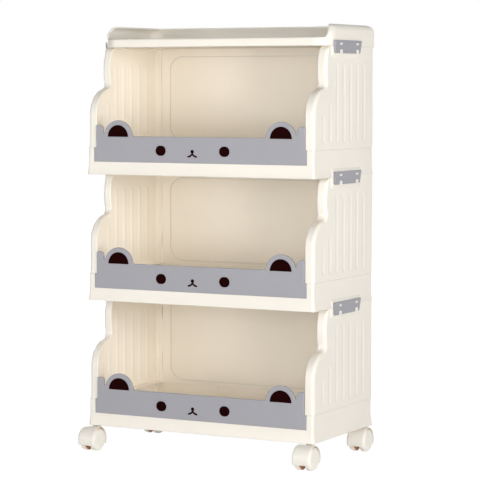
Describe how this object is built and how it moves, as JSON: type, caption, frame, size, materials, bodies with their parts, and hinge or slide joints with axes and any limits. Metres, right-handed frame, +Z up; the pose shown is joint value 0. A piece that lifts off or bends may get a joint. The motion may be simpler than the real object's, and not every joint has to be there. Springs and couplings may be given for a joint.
{
  "type": "rolling storage rack",
  "caption": "Rolling storage rack for a child's room: stacked open bins with fluted sides, grey rails shaped as eared animal faces, a galleried top tray and twin-wheel swivel casters.",
  "frame": {"origin": "on the floor, in the middle of the whole footprint of rack and casters as they stand at rest; the middle of the shelves is 12.4 mm from it towards +Y, because all casters rest trailing towards the front and reach out past the shelves there", "axes": "+X to the right as seen from the front, -Y out through the open front, +Z up"},
  "size_m": [0.43, 0.2508, 0.7055],
  "materials": {
    "shell": "satin moulded polypropylene, warm cream",
    "rail": "satin moulded plastic, grey",
    "inlay": "matt, near-black maroon",
    "link_plate": "satin moulded plastic, grey",
    "caster": "satin moulded plastic, warm cream",
    "steel": "bright turned steel"
  },
  "bodies": {
    "rack": {"lower_shelf": "shell", "lower_left_panel": "shell", "lower_right_panel": "shell", "lower_back_panel": "shell", "lower_front_rail": "rail", "lower_ear_inlays": "inlay", "lower_face_inlays": "inlay", "lower_left_link_plate": "link_plate", "lower_right_link_plate": "link_plate", "middle_shelf": "shell", "middle_left_panel": "shell", "middle_right_panel": "shell", "middle_back_panel": "shell", "middle_front_rail": "rail", "middle_ear_inlays": "inlay", "middle_face_inlays": "inlay", "middle_left_link_plate": "link_plate", "middle_right_link_plate": "link_plate", "upper_shelf": "shell", "upper_left_panel": "shell", "upper_right_panel": "shell", "upper_back_panel": "shell", "upper_front_rail": "rail", "upper_ear_inlays": "inlay", "upper_face_inlays": "inlay", "upper_left_link_plate": "link_plate", "upper_right_link_plate": "link_plate", "top_tray": "shell", "front_left_caster_sleeve": "caster", "front_left_caster_stem": "steel", "front_right_caster_sleeve": "caster", "front_right_caster_stem": "steel", "back_left_caster_sleeve": "caster", "back_left_caster_stem": "steel", "back_right_caster_sleeve": "caster", "back_right_caster_stem": "steel"},
    "front_left_caster": {"front_left_caster_hood": "caster", "front_left_caster_axle": "steel"},
    "front_left_left_wheel": {"front_left_left_wheel": "caster"},
    "front_left_right_wheel": {"front_left_right_wheel": "caster"},
    "front_right_caster": {"front_right_caster_hood": "caster", "front_right_caster_axle": "steel"},
    "front_right_left_wheel": {"front_right_left_wheel": "caster"},
    "front_right_right_wheel": {"front_right_right_wheel": "caster"},
    "back_left_caster": {"back_left_caster_hood": "caster", "back_left_caster_axle": "steel"},
    "back_left_left_wheel": {"back_left_left_wheel": "caster"},
    "back_left_right_wheel": {"back_left_right_wheel": "caster"},
    "back_right_caster": {"back_right_caster_hood": "caster", "back_right_caster_axle": "steel"},
    "back_right_left_wheel": {"back_right_left_wheel": "caster"},
    "back_right_right_wheel": {"back_right_right_wheel": "caster"}
  },
  "joints": [
    {"name": "front_left_swivel", "type": "hinge", "parent": "rack", "child": "front_left_caster", "pos_m": [-0.199, -0.0891, 0.0415], "axis": [0, 0, 1], "continuous": true},
    {"name": "front_left_left_wheel_spin", "type": "hinge", "parent": "front_left_caster", "child": "front_left_left_wheel", "pos_m": [-0.20935, -0.1041, 0.019], "axis": [-1, 0, 0], "continuous": true},
    {"name": "front_left_right_wheel_spin", "type": "hinge", "parent": "front_left_caster", "child": "front_left_right_wheel", "pos_m": [-0.18865, -0.1041, 0.019], "axis": [-1, 0, 0], "continuous": true},
    {"name": "front_right_swivel", "type": "hinge", "parent": "rack", "child": "front_right_caster", "pos_m": [0.199, -0.0891, 0.0415], "axis": [0, 0, 1], "continuous": true},
    {"name": "front_right_left_wheel_spin", "type": "hinge", "parent": "front_right_caster", "child": "front_right_left_wheel", "pos_m": [0.18865, -0.1041, 0.019], "axis": [-1, 0, 0], "continuous": true},
    {"name": "front_right_right_wheel_spin", "type": "hinge", "parent": "front_right_caster", "child": "front_right_right_wheel", "pos_m": [0.20935, -0.1041, 0.019], "axis": [-1, 0, 0], "continuous": true},
    {"name": "back_left_swivel", "type": "hinge", "parent": "rack", "child": "back_left_caster", "pos_m": [-0.199, 0.1139, 0.0415], "axis": [0, 0, 1], "continuous": true},
    {"name": "back_left_left_wheel_spin", "type": "hinge", "parent": "back_left_caster", "child": "back_left_left_wheel", "pos_m": [-0.20935, 0.0989, 0.019], "axis": [-1, 0, 0], "continuous": true},
    {"name": "back_left_right_wheel_spin", "type": "hinge", "parent": "back_left_caster", "child": "back_left_right_wheel", "pos_m": [-0.18865, 0.0989, 0.019], "axis": [-1, 0, 0], "continuous": true},
    {"name": "back_right_swivel", "type": "hinge", "parent": "rack", "child": "back_right_caster", "pos_m": [0.199, 0.1139, 0.0415], "axis": [0, 0, 1], "continuous": true},
    {"name": "back_right_left_wheel_spin", "type": "hinge", "parent": "back_right_caster", "child": "back_right_left_wheel", "pos_m": [0.18865, 0.0989, 0.019], "axis": [-1, 0, 0], "continuous": true},
    {"name": "back_right_right_wheel_spin", "type": "hinge", "parent": "back_right_caster", "child": "back_right_right_wheel", "pos_m": [0.20935, 0.0989, 0.019], "axis": [-1, 0, 0], "continuous": true}
  ]
}
